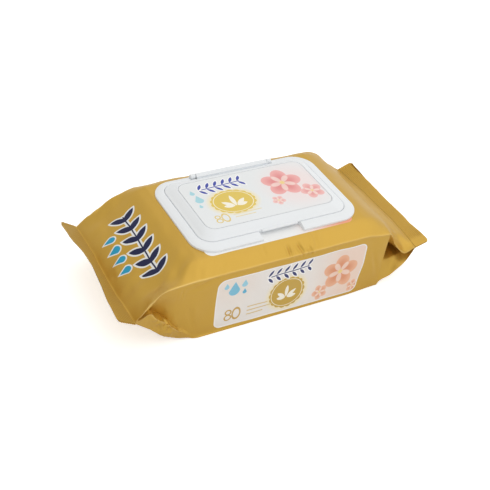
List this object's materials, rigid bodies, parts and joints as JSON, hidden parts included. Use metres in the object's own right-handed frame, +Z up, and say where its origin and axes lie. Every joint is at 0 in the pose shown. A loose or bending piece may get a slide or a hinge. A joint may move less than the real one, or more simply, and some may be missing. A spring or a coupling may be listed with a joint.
{
  "type": "wet wipes pack",
  "caption": "Sealed film pouch with gusseted, crimped ends and a glued-on flip-top lid over a resealable dispensing opening.",
  "frame": {"origin": "on the resting face, under the middle of the printed side", "axes": "+X along the pack towards its short tapered end, -Y out of the printed side, +Z up out of the lid"},
  "size_m": [0.2465, 0.106, 0.0642],
  "materials": {
    "gold_film": "satin gold laminated film",
    "white_moulding": "moulded white polypropylene",
    "printed_label": "printed gloss label",
    "seal_film": "smooth resealable sticker"
  },
  "bodies": {
    "pack": {"film_pack": "gold_film", "lid_frame": "white_moulding", "peel_seal": "seal_film"},
    "lid": {"flip_lid": "white_moulding", "lid_label": "printed_label"}
  },
  "joints": [
    {"name": "lid_hinge", "type": "hinge", "parent": "pack", "child": "lid", "pos_m": [-0.0027, 0.0404, 0.0611], "axis": [-1, 0, 0], "range_deg": [0, 125]}
  ]
}
